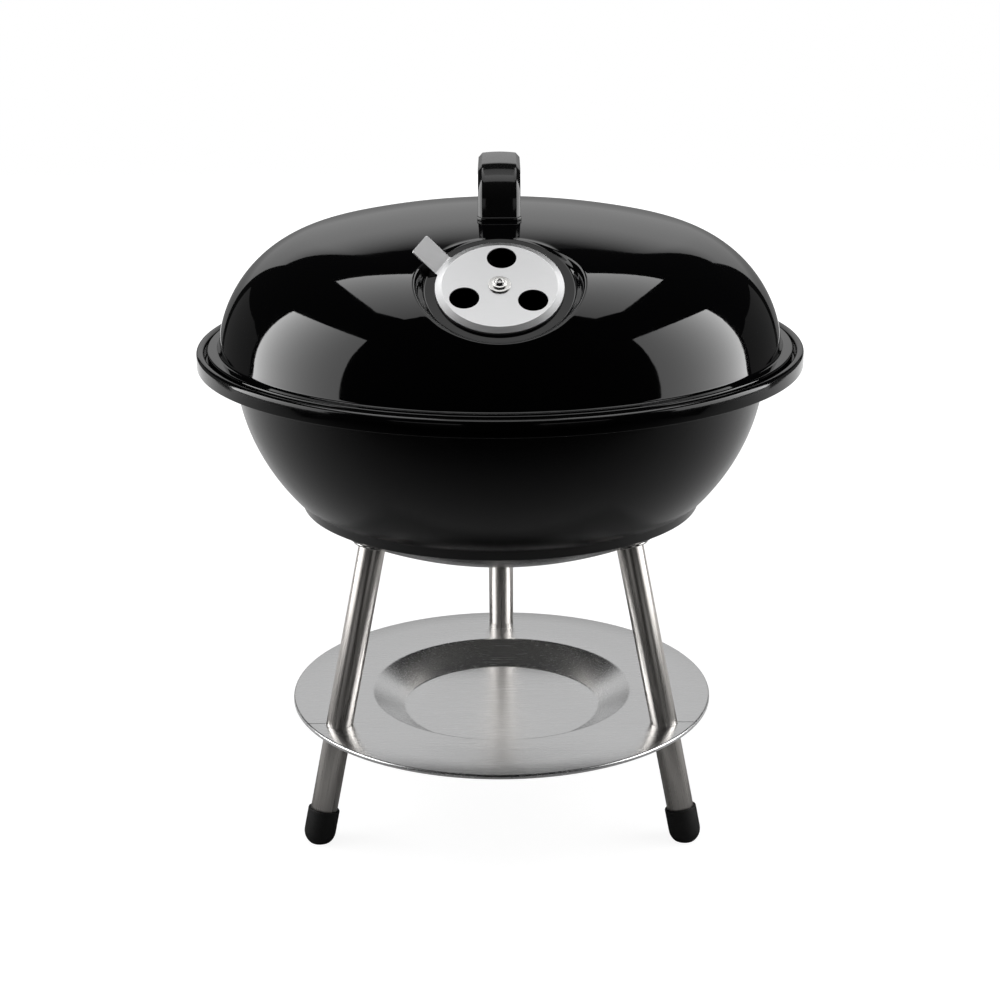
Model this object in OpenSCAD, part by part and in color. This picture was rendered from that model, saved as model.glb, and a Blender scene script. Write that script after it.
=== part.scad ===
// Kettle charcoal grill on three splayed tube legs, in millimetres.
// +Z is up, -Y is the front (the vent side) and the origin is on the floor under the middle of the bowl.

/* [Bowl] */
// Outer radius of the rolled rim
rim_r = 178; // [170:0.5:190]
// Height of the rim's underside above the floor
rim_z = 285.3; // [270:0.1:300]
// Width of the rolled lip
lip_w = 4.7; // [4.2:0.1:6]
// Height of the rolled lip
lip_h = 9.5; // [8:0.1:12]
// Width of the ledge that the lid stands on
ledge_w = 17.3; // [14:0.1:20]
// Thickness of the enamelled sheet of bowl and lid
sheet = 1.2; // [0.8:0.1:1.5]
// Depth of the half ellipse that the bowl's side follows
bowl_depth = 130; // [120:0.5:140]
// Outer radius of the side where the pressed step begins
step_r = 122.7; // [118:0.1:126]
// Inward width of the pressed step
step_in = 2.1; // [1.8:0.1:3]
// Height of the steep band below the step
band_h = 6.6; // [5:0.1:8]
// Depth of the round dish below the band
dish_depth = 32; // [28:0.5:36]

/* [Lid] */
// Play between the lid's rim and the lip
lid_play = 1.8; // [1:0.1:2.5]
// Width of the lid's out-turned rim
flange_w = 6; // [4:0.1:8]
// Height of the lid's out-turned rim
flange_h = 8.5; // [6:0.1:10]
// Height of the lid from its lower edge to its crown
lid_h = 86.9; // [80:0.1:95]
// Radius of the crown's curve
crown_r = 455; // [400:1:520]
// Radius of the shoulder's curve
shoulder_r = 74; // [66:0.5:80]

/* [Lid vent] */
// Distance of the vent seat's middle from the lid's axis
seat_off = 112.5; // [108:0.1:114]
// Depth of the vent seat below the lid's surface above it
seat_sink = 10.7; // [10:0.1:12]
// Forward tilt of the vent seat
seat_tilt = 32; // [30:0.5:34]
// Radius of the flat vent seat
seat_r = 41; // [39.5:0.1:42]
// Outward lean of the recess wall, over the seat's depth
seat_flare = 4.3; // [3:0.1:6]
// Depth of the sloping apron round the part of the seat that stands proud of the lid
apron_h = 9; // [7:0.1:10]
// Radius of each vent hole in the lid and the lid damper
vent_hole_r = 8; // [6:0.1:9]
// Distance of the lid's vent holes from the damper's bolt
vent_ring_r = 21; // [18:0.1:21.5]
// Outer radius of the lid damper
damper_r = 34.7; // [33:0.1:36]
// Radius of the lid damper's flat top
damper_flat_r = 31.2; // [30.5:0.1:32]
// Height of the lid damper's flat top above its rim's edge
damper_rise = 2; // [1.5:0.1:3]
// Thickness of the lid damper's sheet
damper_t = 1; // [0.8:0.1:1.2]
// Width of the lid damper's tab
tab_w = 15; // [12:0.5:17]
// Length of the lid damper's tab beyond its bend
tab_len = 17; // [14:0.5:19]
// Upward bend of the lid damper's tab
tab_bend = 34; // [34:1:45]

/* [Handle] */
// Length of the handle over both feet
handle_len = 77.2; // [70:0.1:90]
// Width of the handle
handle_w = 24; // [20:0.1:28]
// Thickness of the handle's bar
handle_t = 12; // [10:0.1:14]
// Height of the handle above the lid's crown
handle_h = 28.8; // [24:0.1:36]
// Outer radius of the handle's corners
handle_corner_r = 19; // [15:0.5:24]
// Bevel along the handle's outer edges
handle_bevel = 2.3; // [1.5:0.1:3.5]
// Bevel along the handle's inner edges
handle_inner_bevel = 1.5; // [1:0.1:2.5]
// Radius of the handle screws
screw_r = 2; // [1.5:0.1:2.5]
// Length of the handle screws inside the handle
screw_grip = 14; // [10:0.5:18]

/* [Legs] */
// Outer radius of the leg tubes
leg_r = 8; // [7:0.1:9]
// Wall of the leg tubes
leg_wall = 1.2; // [1:0.1:1.5]
// Distance of the legs' tops from the middle
leg_top_r = 87; // [84:0.1:92]
// Distance of the legs' axes from the middle, on the floor
foot_spread = 128.6; // [120:0.1:135]
// Radius of the flat pads pressed in the bowl for the legs
pad_r = 13; // [12.5:0.1:15]
// Radius of the flange washers on the legs' tops
leg_washer_r = 11; // [10:0.1:12]
// Thickness of the flange washers
leg_washer_t = 1.6; // [1:0.1:2.5]
// Radius of the leg bolts
leg_bolt_r = 3; // [2.5:0.1:3.5]
// Length of the leg bolts below the bowl
leg_bolt_len = 15; // [12:0.5:18]
// Length of the threaded plugs in the legs
insert_len = 18; // [16:0.5:24]
// Outer radius of the rubber feet
foot_r = 9.5; // [9.3:0.1:11]
// Height of the rubber feet along the leg
foot_h = 21; // [18:0.5:26]
// Thickness of rubber under the leg's end
foot_floor = 4.5; // [4:0.1:6]

/* [Ash tray] */
// Height of the tray's top face
tray_z = 73.2; // [60:0.1:90]
// Outer radius of the tray
tray_r = 129; // [124:0.1:135]
// Thickness of the tray's sheet
tray_t = 0.8; // [0.6:0.1:1.2]
// Height of the tray's turned-down edge
tray_edge_h = 2.4; // [2:0.1:4]
// Radius of the tray's dish at its top
tray_dish_r = 80; // [72:0.5:84]
// Radius of the tray's dish at its floor
tray_floor_r = 60; // [50:0.5:66]
// Depth of the tray's dish
tray_dish_depth = 12; // [8:0.5:16]
// Width of the slit beside each leg
slit_w = 0.8; // [0.5:0.1:1.5]

/* [Grates] */
// Height of the cooking grate's brackets above the step
bracket_z = 61; // [50:0.5:66]
// Inward reach of the brackets
bracket_reach = 12; // [9:0.5:16]
// Width of the brackets
bracket_w = 22; // [16:0.5:30]
// Height of the brackets' back plates
bracket_h = 14; // [10:0.5:18]
// Thickness of the brackets
bracket_t = 1.5; // [1:0.1:2]
// Gap between the cooking grate and the bowl's wall
grate_play = 4; // [3:0.1:6]
// Radius of the cooking grate's ring rod
cook_ring_rod_r = 3; // [2.5:0.1:3.5]
// Radius of the charcoal grate's ring rod
coal_ring_rod_r = 2.5; // [2.2:0.1:3]
// Radius of the grates' straight rods
rod_r = 2; // [1.5:0.1:2.2]
// Distance between the cooking grate's rods
cook_pitch = 20; // [16:0.5:26]
// Distance between the charcoal grate's rods
coal_pitch = 19; // [15:0.5:25]
// Distance of the grates' cross rods from the middle
cross_off = 55; // [40:1:70]

/* [Bottom vent] */
// Radius of the bottom damper
ash_damper_r = 45; // [42:0.5:50]
// Thickness of the bottom damper
ash_damper_t = 1; // [0.8:0.1:1.2]
// Reach of the bottom damper's tab from the middle
ash_tab_reach = 66; // [58:0.5:68]
// Width of the bottom damper's tab
ash_tab_w = 14; // [10:0.5:18]
// Radius of the holes that the ash falls through
ash_hole_r = 10; // [8:0.1:11]
// Distance of those holes from the middle
ash_ring_r = 27; // [24:0.5:30]
// Radius of both damper bolts
damper_bolt_r = 2.5; // [2:0.1:3]
// Radius of the washers under both damper bolts' heads
damper_washer_r = 6.1; // [5:0.1:7]
// Thickness of those washers
damper_washer_t = 0.8; // [0.6:0.1:1.2]

/* [Fits] */
// Gap between parts that slide or turn on each other
run_gap = 0.2; // [0.1:0.05:0.3]
// Gap between curved parts that are fastened together
seat_gap = 0.1; // [0.05:0.01:0.15]
// Radial gap around screws and plugs
thread_gap = 0.05; // [0.03:0.01:0.1]
// Gap between the grates' wires at their welds
weld_gap = 0.05; // [0.02:0.01:0.1]
// Radial gap around bolts in clearance holes
bolt_gap = 0.3; // [0.2:0.05:0.5]
// Radial gap between the legs and the tray's holes
tray_gap = 0.3; // [0.1:0.05:0.5]
// Gap between the lid's edge and the ledge
lid_gap = 0.3; // [0.1:0.05:0.4]

/* [Hidden] */
$fn = 96;
eps = 1;
cut_h = 20;
arc_steps = 16;
left_turn = -60;
right_turn = 60;
back_turn = 180;
LEG_TURNS = [left_turn, right_turn, back_turn];
SLIT_TURNS = [-30, 30, 0];
BRACKET_TURNS = [0, 120, 240];
HOLE_TURNS = [0, 120, 240];

// Bowl
lip_in_r = rim_r - lip_w;
bowl_wall_r = lip_in_r - ledge_w;
ledge_z = rim_z + sheet;
step_z = bowl_side_z(step_r);
step_bevel = 1;
band_top_r = step_r - step_in;
band_r = band_top_r - band_h / 4;
dish_top_z = step_z - band_h;
dish_z = dish_top_z - dish_depth;
dish_r = (band_r * band_r + dish_depth * dish_depth) / (2 * dish_depth);

// Lid
lid_z = ledge_z + lid_gap;
lid_top_z = lid_z + lid_h;
flange_r = lip_in_r - lid_play;
flange_top_z = lid_z + flange_h;
lid_wall_r = flange_r - flange_w;
shoulder_c = lid_wall_r - shoulder_r;
crown_cz = lid_top_z - crown_r;
shoulder_cz = crown_cz + sqrt(pow(crown_r - shoulder_r, 2) - shoulder_c * shoulder_c);
crown_end = asin(shoulder_c / (crown_r - shoulder_r));
flange_bevel = 0.8;

// Lid vent
seat_z = lid_surface_z(seat_off) - seat_sink;
damper_top = run_gap + damper_rise + damper_t;
vent_bolt_head_r = 4;
vent_bolt_top_r = 2.5;
vent_bolt_head_h = 3;
damper_nut_r = 4.6;
damper_nut_h = 4;
vent_bolt_end = 8;
tab_turn = 150;
tab_root = 1.8;
tab_bend_gap = 0.6;
tab_inset = 0.05;
vent_hole_turn = 87;

// Handle
handle_top_z = lid_top_z + handle_h;
handle_screw_y = handle_len / 2 - handle_t / 2;
handle_foot_h = 2;
handle_foot_lip = 0.5;
screw_head_r = 4;
screw_head_h = 2.4;
screw_end_gap = 1;
handle_washer_r = 5.5;
handle_washer_t = 1.5;

// Legs
leg_top_z = dish_outer_z(leg_top_r, 0);
leg_splay = atan((foot_spread - leg_top_r) / leg_top_z);
leg_len = leg_top_z / cos(leg_splay);
leg_bolt_head_r = 5;
leg_bolt_head_h = 4;
leg_bolt_washer_r = 7;
leg_bolt_washer_t = 1.2;
foot_round_up = 7;

// Grates
bracket_top_z = step_z + bracket_z;
cook_ring_r = bowl_side_r(bracket_top_z, sheet) - grate_play - cook_ring_rod_r;
cook_z = bracket_top_z + cook_ring_rod_r + run_gap;
coal_seat_z = step_z + sheet;
coal_ring_r = band_top_r;
coal_z = coal_seat_z + coal_ring_rod_r + run_gap;

// Bottom vent
ash_bolt_head_r = 4.5;
ash_bolt_low_r = 3;
ash_bolt_head_h = 2.5;
ash_bolt_end = 7.2;
ash_hole_turn = 60;
ash_tab_turn = 90;

// Height on the bowl's side, at radius r
function bowl_side_z(r) = rim_z - bowl_depth * sqrt(1 - pow(r / bowl_wall_r, 2));
// Radius of the bowl's side at height z, d inside its outer face
function bowl_side_r(z, d) = (bowl_wall_r - d) * sqrt(1 - pow((rim_z - z) / (bowl_depth - d), 2));
// Height of the dish at radius r, d outside its outer face
function dish_outer_z(r, d) = dish_z + dish_r - sqrt(pow(dish_r + d, 2) - r * r);
// Height of the lid's outer face at radius r, on its crown or its shoulder
function lid_surface_z(r) = r < crown_r * sin(crown_end)
    ? crown_cz + sqrt(crown_r * crown_r - r * r)
    : shoulder_cz + sqrt(shoulder_r * shoulder_r - pow(r - shoulder_c, 2));
// Points of an arc about [cx, cy], angles from +X towards +Y
function arc(cx, cy, r, from, to, steps) =
    [for (i = [0:steps]) let(a = from + (to - from) * i / steps) [cx + r * cos(a), cy + r * sin(a)]];
// Points of the bowl's side from the step up to the ledge, d inside the outer face
function side_points(d) =
    [for (i = [0:arc_steps]) let(z = step_z + d + (rim_z - step_z - d) * sin(90 * i / arc_steps))
        [bowl_side_r(z, d), z]];
// Points of the dish from the middle out to radius r, d outside the outer face
function dish_points(r, d) = [for (i = [0:arc_steps]) let(x = r * i / arc_steps) [x, dish_outer_z(x, d)]];
// Points of the lid's face from its crown down to height z_low, d outside the outer face
function lid_points(d, z_low) = concat(
    arc(0, crown_cz, crown_r + d, 90, 90 - crown_end, arc_steps / 2),
    arc(shoulder_c, shoulder_cz, shoulder_r + d, 90 - crown_end,
        asin((z_low - shoulder_cz) / (shoulder_r + d)), arc_steps));

module lid_outer_body(d) {
    rotate_extrude() polygon(concat([[0, lid_z]], lid_points(d, lid_z + flange_h), [[lid_wall_r, lid_z]]));
}

module lid_body_with_rim() {
    rotate_extrude() polygon(concat([[0, lid_z]],
        lid_points(0, flange_top_z + flange_bevel),
        [[lid_wall_r + flange_bevel, flange_top_z], [flange_r - flange_bevel, flange_top_z],
            [flange_r, flange_top_z - flange_bevel], [flange_r, lid_z]]));
}

module lid_hollow() {
    rotate_extrude() polygon(concat([[0, lid_z - eps]],
        lid_points(-sheet, flange_top_z - sheet),
        [[flange_r - sheet, flange_top_z - sheet], [flange_r - sheet, lid_z - eps]]));
}

// Places its children on the lid's vent seat, with +Z square out of it
module on_vent_seat() {
    translate([0, -seat_off, seat_z]) rotate([seat_tilt, 0, 0]) children();
}

// Recess above the vent seat, grown by d
module vent_recess(d) {
    recess_h = 2 * seat_sink;
    on_vent_seat() translate([0, 0, -d])
        cylinder(r1 = seat_r + d, r2 = seat_r + d + seat_flare * recess_h / seat_sink, h = recess_h);
}

// Apron below the vent seat's edge, sloping outwards at 45 degrees, d inside its outer face
module vent_apron(d) {
    top_r = seat_r - d * sqrt(2);
    on_vent_seat() translate([0, 0, -apron_h]) cylinder(r1 = top_r + apron_h, r2 = top_r, h = apron_h);
}

// Cutter for a round hole through the sheet at z = 0
module through_hole(r) {
    translate([0, 0, -cut_h / 2]) cylinder(r = r, h = cut_h);
}

// Cutters for the three round vent holes on a ring
module vent_holes(turn, ring, r) {
    for (a = HOLE_TURNS) rotate([0, 0, turn + a]) translate([ring, 0, 0]) through_hole(r);
}

module lid_shell() {
    color("#101012") difference() {
        union() {
            lid_body_with_rim();
            vent_apron(0);
        }
        vent_recess(0);
        difference() {
            union() {
                lid_hollow();
                vent_apron(sheet);
            }
            vent_recess(sheet);
        }
        on_vent_seat() vent_holes(vent_hole_turn, vent_ring_r, vent_hole_r);
        on_vent_seat() through_hole(damper_bolt_r + bolt_gap);
        for (side = [-1, 1]) translate([0, side * handle_screw_y, lid_top_z])
            through_hole(screw_r + bolt_gap);
    }
}

// Handle's cross-section: [across, depth from the outer face]
function handle_section() = let(w = handle_w / 2, b = handle_bevel, c = handle_inner_bevel, t = handle_t)
    [[-w + b, 0], [w - b, 0], [w, b], [w, t - c], [w - c, t], [-w + c, t], [-w, t - c], [-w, b]];

module handle_leg() {
    translate([0, -handle_len / 2, lid_z + flange_h])
        linear_extrude(handle_top_z - handle_corner_r - lid_z - flange_h) polygon(handle_section());
    translate([-handle_w / 2 - handle_foot_lip, -handle_len / 2 - handle_foot_lip, lid_z + flange_h])
        cube([handle_w + 2 * handle_foot_lip, handle_t + 2 * handle_foot_lip,
            lid_surface_z(handle_len / 2) + handle_foot_h - lid_z - flange_h]);
}

module handle_corner() {
    translate([0, -handle_len / 2 + handle_corner_r, handle_top_z - handle_corner_r])
        rotate([90, 0, 90]) rotate([0, 0, 90]) rotate_extrude(angle = 90)
            polygon([for (p = handle_section()) [handle_corner_r - p[1], p[0]]]);
}

module handle_bar() {
    translate([0, handle_len / 2 - handle_corner_r, handle_top_z]) rotate([90, 0, 0])
        linear_extrude(handle_len - 2 * handle_corner_r) polygon([for (p = handle_section()) [p[0], -p[1]]]);
}

module lid_handle() {
    color("#0c0c0d") difference() {
        union() {
            for (half = [0, 1]) mirror([0, half, 0]) {
                handle_leg();
                handle_corner();
            }
            handle_bar();
        }
        lid_outer_body(seat_gap);
        for (side = [-1, 1]) translate([0, side * handle_screw_y, lid_top_z - cut_h / 2])
            cylinder(r = screw_r + thread_gap, h = cut_h / 2 + screw_grip);
    }
}

module handle_screws() {
    head_z = lid_surface_z(handle_screw_y) - sheet - seat_gap - handle_washer_t;
    color("silver") for (side = [-1, 1]) translate([0, side * handle_screw_y, head_z]) {
        cylinder(r = screw_r, h = handle_washer_t + sheet + screw_grip - screw_end_gap);
        translate([0, 0, -screw_head_h]) cylinder(r = screw_head_r, h = screw_head_h);
    }
}

module handle_washers() {
    washer_z = lid_surface_z(handle_screw_y) - sheet - seat_gap - handle_washer_t;
    color("silver") intersection() {
        for (side = [-1, 1]) translate([0, side * handle_screw_y, washer_z]) difference() {
            cylinder(r = handle_washer_r, h = 2 * handle_washer_t);
            through_hole(screw_r + bolt_gap);
        }
        lid_outer_body(-sheet - seat_gap);
    }
}

// Side outline of the damper's tab, from its root inside the sloping rim to its bent-up end: [outward, up]
function tab_side() = let(t = damper_t - 2 * tab_inset,
        root_x = damper_r - tab_root, bend_x = damper_r + tab_bend_gap,
        end_x = bend_x + tab_len * cos(tab_bend), end_z = tab_len * sin(tab_bend))
    [[root_x, tab_inset], [bend_x, tab_inset], [end_x, tab_inset + end_z],
        [end_x - t * sin(tab_bend), tab_inset + end_z + t * cos(tab_bend)],
        [bend_x - t * tan(tab_bend / 2), tab_inset + t], [root_x, tab_inset + t]];

// The damper is a shallow cap: a flat top whose rim slopes down to the seat
module lid_damper() {
    t = damper_t;
    z0 = run_gap;
    z1 = z0 + damper_rise;
    color("#c9c8c6") on_vent_seat() difference() {
        union() {
            rotate_extrude() polygon([[0, z1], [damper_flat_r - t / 2, z1], [damper_r - t, z0],
                [damper_r, z0], [damper_r, z0 + t / 2], [damper_flat_r, z1 + t], [0, z1 + t]]);
            rotate([0, 0, tab_turn]) translate([0, tab_w / 2, z0]) rotate([90, 0, 0])
                linear_extrude(tab_w) polygon(tab_side());
        }
        vent_holes(vent_hole_turn, vent_ring_r, vent_hole_r);
        through_hole(damper_bolt_r + bolt_gap);
    }
}

module lid_damper_bolt() {
    under_head = damper_top + run_gap + damper_washer_t;
    color("gainsboro") on_vent_seat() {
        translate([0, 0, -vent_bolt_end]) cylinder(r = damper_bolt_r, h = vent_bolt_end + under_head);
        translate([0, 0, under_head])
            cylinder(r1 = vent_bolt_head_r, r2 = vent_bolt_top_r, h = vent_bolt_head_h);
    }
}

module lid_damper_spring() {
    color("gainsboro") on_vent_seat() translate([0, 0, damper_top + run_gap]) difference() {
        cylinder(r = damper_washer_r, h = damper_washer_t);
        through_hole(damper_bolt_r + thread_gap);
    }
}

module lid_damper_nut() {
    color("silver") on_vent_seat() translate([0, 0, -sheet - damper_nut_h]) difference() {
        cylinder(r = damper_nut_r, h = damper_nut_h, $fn = 6);
        through_hole(damper_bolt_r + thread_gap);
    }
}

// Places its children on the leg's axis: +Z runs up the leg and z = 0 is its pad's outer face
module on_leg(turn) {
    rotate([0, 0, turn]) translate([0, -leg_top_r, leg_top_z]) rotate([-leg_splay, 0, 0]) children();
}

module bowl_outer_body() {
    lip_c = rim_r - lip_w / 2;
    lip_cz = rim_z + lip_h - lip_w / 2;
    rotate_extrude() polygon(concat(dish_points(band_r, 0),
        [[band_top_r, step_z - step_bevel], [band_top_r + step_bevel, step_z]],
        side_points(0),
        [[rim_r, rim_z]],
        arc(lip_c, lip_cz, lip_w / 2, 0, 180, arc_steps / 2),
        [[lip_in_r, ledge_z], [0, ledge_z]]));
}

module bowl_hollow() {
    rotate_extrude() polygon(concat(dish_points(band_r - sheet, -sheet),
        [[band_top_r - sheet, coal_seat_z - step_bevel], [band_top_r - sheet + step_bevel, coal_seat_z]],
        side_points(sheet),
        [[bowl_wall_r - sheet, ledge_z + eps], [0, ledge_z + eps]]));
}

module lip_hollow() {
    inner_w = lip_w - 2 * sheet;
    lip_c = rim_r - lip_w / 2;
    rotate_extrude() polygon(concat([[lip_c - inner_w / 2, rim_z - eps], [lip_c + inner_w / 2, rim_z - eps]],
        arc(lip_c, rim_z + lip_h - lip_w / 2, inner_w / 2, 0, 180, arc_steps / 2)));
}

module bowl_shell() {
    pad_h = 10;
    color("#1b1b1d") difference() {
        union() {
            difference() {
                bowl_outer_body();
                for (turn = LEG_TURNS) on_leg(turn) translate([0, 0, -pad_h]) cylinder(r = pad_r, h = pad_h);
            }
            for (turn = LEG_TURNS) on_leg(turn) cylinder(r = pad_r, h = pad_h / 2);
        }
        difference() {
            bowl_hollow();
            for (turn = LEG_TURNS) on_leg(turn) translate([0, 0, -pad_h])
                cylinder(r = pad_r + sheet, h = pad_h + sheet);
        }
        for (turn = LEG_TURNS) on_leg(turn) {
            translate([0, 0, sheet]) cylinder(r = pad_r - sheet, h = pad_h);
            through_hole(leg_bolt_r + bolt_gap);
        }
        lip_hollow();
        translate([0, 0, dish_z]) vent_holes(ash_hole_turn, ash_ring_r, ash_hole_r);
        translate([0, 0, dish_z]) through_hole(damper_bolt_r + bolt_gap);
    }
}

// One body that fills the bowl's inside, d clear of its wall, between two heights
module bowl_filling(d, z_low, z_high) {
    rotate_extrude() polygon(concat([[0, z_low]],
        [for (i = [0:arc_steps]) let(z = z_low + (z_high - z_low) * i / arc_steps)
            [bowl_side_r(z, sheet + d), z]],
        [[0, z_high]]));
}

module grate_supports() {
    z_low = bracket_top_z - bracket_h;
    shelf_z = bracket_top_z - bracket_t;
    shelf_r = bowl_side_r(bracket_top_z, sheet) - bracket_reach;
    color("silver") for (turn = BRACKET_TURNS) intersection() {
        union() {
            difference() {
                bowl_filling(seat_gap, z_low, bracket_top_z);
                bowl_filling(seat_gap + bracket_t, z_low - eps, bracket_top_z + eps);
            }
            difference() {
                bowl_filling(seat_gap, shelf_z, bracket_top_z);
                translate([0, 0, z_low]) cylinder(r = shelf_r, h = 2 * bracket_h);
            }
        }
        rotate([0, 0, turn]) translate([-bracket_w / 2, 0, z_low]) cube([bracket_w, rim_r, bracket_h]);
    }
}

module grate_ring(ring_r, ring_rod_r) {
    rotate_extrude() translate([ring_r, 0]) circle(r = ring_rod_r);
}

// Straight rods on top of the ring, and two cross rods under them inside the ring.
// The welds are left out, so the wires lie a weld_gap apart.
module grate_rods(ring_r, ring_rod_r, pitch) {
    rod_z = ring_rod_r + weld_gap + rod_r;
    cross_z = rod_z - 2 * rod_r - weld_gap;
    inside_r = ring_r - ring_rod_r - weld_gap;
    count = floor((ring_r - ring_rod_r) / pitch);
    for (i = [-count:count]) let(half = sqrt(ring_r * ring_r - pow(i * pitch, 2)))
        translate([i * pitch, half, rod_z]) rotate([90, 0, 0]) cylinder(r = rod_r, h = 2 * half);
    for (side = [-1, 1]) let(half = sqrt(inside_r * inside_r - pow(cross_off + rod_r, 2)))
        translate([-half, side * cross_off, cross_z]) rotate([0, 90, 0]) cylinder(r = rod_r, h = 2 * half);
}

module cooking_grate_ring() {
    color("silver") translate([0, 0, cook_z]) grate_ring(cook_ring_r, cook_ring_rod_r);
}

module cooking_grate_rods() {
    color("silver") translate([0, 0, cook_z]) grate_rods(cook_ring_r, cook_ring_rod_r, cook_pitch);
}

module charcoal_grate_ring() {
    color("silver") translate([0, 0, coal_z]) grate_ring(coal_ring_r, coal_ring_rod_r);
}

module charcoal_grate_rods() {
    color("silver") translate([0, 0, coal_z]) grate_rods(coal_ring_r, coal_ring_rod_r, coal_pitch);
}

// The bottom damper follows the dish, so it turns close under it
module bottom_damper() {
    inner = run_gap;
    outer = run_gap + ash_damper_t;
    beyond = ash_tab_reach + eps;
    color("#c9c8c6") difference() {
        intersection() {
            rotate_extrude() difference() {
                polygon(concat(dish_points(ash_tab_reach, outer),
                    [[ash_tab_reach, dish_top_z], [0, dish_top_z]]));
                polygon(concat(dish_points(ash_tab_reach, inner),
                    [[beyond, dish_top_z], [beyond, dish_top_z + eps], [0, dish_top_z + eps]]));
            }
            translate([0, 0, dish_z - outer]) {
                cylinder(r = ash_damper_r, h = dish_depth);
                rotate([0, 0, ash_tab_turn]) translate([0, -ash_tab_w / 2, 0])
                    cube([ash_tab_reach, ash_tab_w, dish_depth]);
            }
        }
        translate([0, 0, dish_z]) vent_holes(ash_hole_turn, ash_ring_r, ash_hole_r);
        translate([0, 0, dish_z]) through_hole(damper_bolt_r + bolt_gap);
    }
}

module bottom_damper_bolt() {
    under_head = dish_z - 2 * run_gap - ash_damper_t - damper_washer_t;
    color("silver") {
        translate([0, 0, under_head]) cylinder(r = damper_bolt_r, h = dish_z + ash_bolt_end - under_head);
        translate([0, 0, under_head - ash_bolt_head_h])
            cylinder(r1 = ash_bolt_low_r, r2 = ash_bolt_head_r, h = ash_bolt_head_h);
    }
}

module bottom_damper_spring() {
    color("silver") translate([0, 0, dish_z - 2 * run_gap - ash_damper_t - damper_washer_t]) difference() {
        cylinder(r = damper_washer_r, h = damper_washer_t);
        through_hole(damper_bolt_r + thread_gap);
    }
}

module bottom_damper_nut() {
    color("silver") translate([0, 0, dish_z + sheet + seat_gap]) difference() {
        cylinder(r = damper_nut_r, h = damper_nut_h, $fn = 6);
        through_hole(damper_bolt_r + thread_gap);
    }
}

module leg(turn) {
    low = -leg_len + foot_floor;
    color("#bdb9b4") on_leg(turn) translate([0, 0, low]) difference() {
        cylinder(r = leg_r, h = -low - leg_washer_t);
        translate([0, 0, -eps]) cylinder(r = leg_r - leg_wall, h = -low + 2 * eps);
    }
}

module leg_front_left() { leg(left_turn); }
module leg_front_right() { leg(right_turn); }
module leg_back() { leg(back_turn); }

module foot(turn) {
    color("#171717") intersection() {
        on_leg(turn) difference() {
            translate([0, 0, -leg_len]) union() {
                translate([0, 0, foot_round_up]) sphere(r = foot_r);
                translate([0, 0, foot_round_up]) cylinder(r = foot_r, h = foot_h - foot_round_up);
            }
            translate([0, 0, -leg_len + foot_floor]) cylinder(r = leg_r + thread_gap, h = foot_h);
        }
        translate([-rim_r, -rim_r, 0]) cube([2 * rim_r, 2 * rim_r, 3 * foot_h]);
    }
}

module foot_front_left() { foot(left_turn); }
module foot_front_right() { foot(right_turn); }
module foot_back() { foot(back_turn); }

module leg_washers() {
    color("silver") for (turn = LEG_TURNS) on_leg(turn) translate([0, 0, -leg_washer_t]) difference() {
        cylinder(r = leg_washer_r, h = leg_washer_t);
        through_hole(leg_bolt_r + bolt_gap);
    }
}

module leg_inserts() {
    low = -leg_washer_t - insert_len;
    color("silver") for (turn = LEG_TURNS) on_leg(turn) translate([0, 0, low]) difference() {
        cylinder(r = leg_r - leg_wall - thread_gap, h = insert_len);
        translate([0, 0, -eps]) cylinder(r = leg_bolt_r + thread_gap, h = insert_len + 2 * eps);
    }
}

module leg_bolts() {
    under_head = sheet + leg_bolt_washer_t;
    color("silver") for (turn = LEG_TURNS) on_leg(turn) {
        translate([0, 0, -leg_bolt_len]) cylinder(r = leg_bolt_r, h = leg_bolt_len + under_head);
        translate([0, 0, under_head]) cylinder(r = leg_bolt_head_r, h = leg_bolt_head_h);
    }
}

module leg_bolt_washers() {
    color("silver") for (turn = LEG_TURNS) on_leg(turn) translate([0, 0, sheet]) difference() {
        cylinder(r = leg_bolt_washer_r, h = leg_bolt_washer_t);
        through_hole(leg_bolt_r + bolt_gap);
    }
}

// A tray of thin sheet with a turned-down edge, a pressed dish, and for each leg a hole with a slit
module ash_tray() {
    t = tray_t;
    z = tray_z;
    floor_z = tray_z - tray_dish_depth;
    color("#c4c5c7") difference() {
        rotate_extrude() polygon([[0, floor_z], [tray_floor_r, floor_z], [tray_dish_r, z],
            [tray_r - t, z], [tray_r, z - t], [tray_r, z - tray_edge_h], [tray_r - t, z - tray_edge_h],
            [tray_r - t, z - t], [tray_dish_r + t / 2, z - t], [tray_floor_r + t / 2, floor_z - t],
            [0, floor_z - t]]);
        for (i = [0:2]) {
            on_leg(LEG_TURNS[i]) translate([0, 0, -leg_len]) cylinder(r = leg_r + tray_gap, h = leg_len);
            rotate([0, 0, LEG_TURNS[i]]) translate([0, tray_leg_y(), z - cut_h / 2])
                rotate([0, 0, SLIT_TURNS[i]]) translate([-slit_w / 2, -tray_r, 0])
                    cube([slit_w, tray_r, cut_h]);
        }
    }
}

// Where a leg's axis crosses the tray's top face, on the front side
function tray_leg_y() = -leg_top_r - (leg_top_z - tray_z) * tan(leg_splay);

lid_shell();
lid_handle();
handle_screws();
handle_washers();
lid_damper();
lid_damper_bolt();
lid_damper_spring();
lid_damper_nut();
bowl_shell();
grate_supports();
cooking_grate_ring();
cooking_grate_rods();
charcoal_grate_ring();
charcoal_grate_rods();
bottom_damper();
bottom_damper_bolt();
bottom_damper_spring();
bottom_damper_nut();
leg_front_left();
leg_front_right();
leg_back();
leg_washers();
leg_inserts();
leg_bolts();
leg_bolt_washers();
foot_front_left();
foot_front_right();
foot_back();
ash_tray();
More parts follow.
